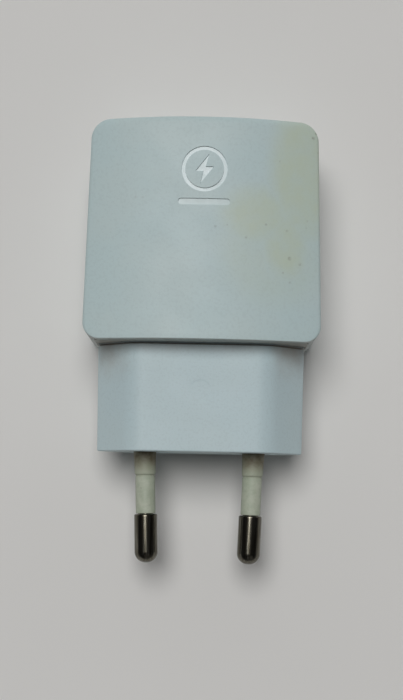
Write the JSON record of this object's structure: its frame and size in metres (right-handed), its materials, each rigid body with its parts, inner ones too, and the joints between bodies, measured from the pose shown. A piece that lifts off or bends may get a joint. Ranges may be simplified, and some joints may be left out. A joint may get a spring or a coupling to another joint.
{
  "type": "usb wall charger",
  "caption": "Compact mains USB charger: crowned square case, flat hexagonal plug base with two sleeved round pins, and a USB socket in the far end.",
  "frame": {"origin": "middle of the object's bounding box at its base, which is on the shoulder line where the plug base leaves the case, at the level of the flat back", "axes": "+X to the right seen from the front, +Y from the pins to the USB socket, +Z out of the crowned front face"},
  "size_m": [0.0404, 0.0756, 0.0238],
  "materials": {
    "housing": "cool white moulded plastic with a fine spark-eroded grain",
    "pin_metal": "nickel-plated brass, polished, with fine scratches along it",
    "sleeve_plastic": "off-white insulating sleeve, slightly grubby",
    "contact_metal": "gold-flashed or bare brass spring strip",
    "board_laminate": "green glass-epoxy laminate with solder mask",
    "green_lacquer": "green lacquer over a wound resistor",
    "black_plastic": "black moulded epoxy",
    "chip_ceramic": "tan chip ceramic with tinned ends",
    "ferrite": "dark grey sintered ferrite",
    "copper_wire": "enamelled copper wire",
    "yellow_tape": "yellow polyester tape",
    "blue_ceramic": "blue epoxy coating on a ceramic disc",
    "capacitor_sleeve": "dark shrink sleeve",
    "capacitor_can": "bare drawn aluminium",
    "receptacle_steel": "tinned sheet steel",
    "receptacle_plastic": "black moulded polyester",
    "insulating_film": "amber insulating film"
  },
  "bodies": {
    "charger": {"outer_case": "housing", "shoulder_plate": "housing", "plug_base": "housing", "pin_left": "pin_metal", "pin_right": "pin_metal", "pin_sleeve_left": "sleeve_plastic", "pin_sleeve_right": "sleeve_plastic", "pin_contact_left": "contact_metal", "pin_contact_right": "contact_metal", "main_board": "board_laminate", "fuse_resistor": "green_lacquer", "line_choke": "black_plastic", "input_capacitor_board": "capacitor_sleeve", "input_capacitor_plug": "capacitor_sleeve", "bridge_rectifier": "black_plastic", "controller_chip": "black_plastic", "clamp_diode": "black_plastic", "rectifier_diode": "black_plastic", "chip_resistor_1": "black_plastic", "chip_resistor_2": "black_plastic", "chip_resistor_3": "black_plastic", "chip_resistor_4": "black_plastic", "chip_capacitor_1": "chip_ceramic", "chip_capacitor_2": "chip_ceramic", "chip_capacitor_3": "chip_ceramic", "transformer_core_left": "ferrite", "transformer_core_right": "ferrite", "transformer_bobbin": "black_plastic", "transformer_windings": "copper_wire", "transformer_winding_tape": "yellow_tape", "transformer_core_tape": "yellow_tape", "safety_capacitor": "blue_ceramic", "output_capacitor_1": "capacitor_can", "output_capacitor_2": "capacitor_can", "usb_shell": "receptacle_steel", "usb_insulator": "receptacle_plastic", "insulation_sheet": "insulating_film", "isolation_barrier": "insulating_film", "usb_contact_tail_1": "contact_metal", "usb_contact_tail_2": "contact_metal", "usb_contact_tail_3": "contact_metal", "usb_contact_tail_4": "contact_metal"},
    "contact_1": {"usb_contact_1": "contact_metal"},
    "contact_2": {"usb_contact_2": "contact_metal"},
    "contact_3": {"usb_contact_3": "contact_metal"},
    "contact_4": {"usb_contact_4": "contact_metal"}
  },
  "joints": [
    {"name": "contact_1_flex", "type": "hinge", "parent": "charger", "child": "contact_1", "pos_m": [-0.0035, 0.02655, 0.0127], "axis": [1, 0, 0], "range_deg": [0, 3], "stiffness_Nm_per_rad": 0.1},
    {"name": "contact_2_flex", "type": "hinge", "parent": "charger", "child": "contact_2", "pos_m": [-0.001, 0.02655, 0.0127], "axis": [1, 0, 0], "range_deg": [0, 3], "stiffness_Nm_per_rad": 0.1},
    {"name": "contact_3_flex", "type": "hinge", "parent": "charger", "child": "contact_3", "pos_m": [0.001, 0.02655, 0.0127], "axis": [1, 0, 0], "range_deg": [0, 3], "stiffness_Nm_per_rad": 0.1},
    {"name": "contact_4_flex", "type": "hinge", "parent": "charger", "child": "contact_4", "pos_m": [0.0035, 0.02655, 0.0127], "axis": [1, 0, 0], "range_deg": [0, 3], "stiffness_Nm_per_rad": 0.1}
  ]
}
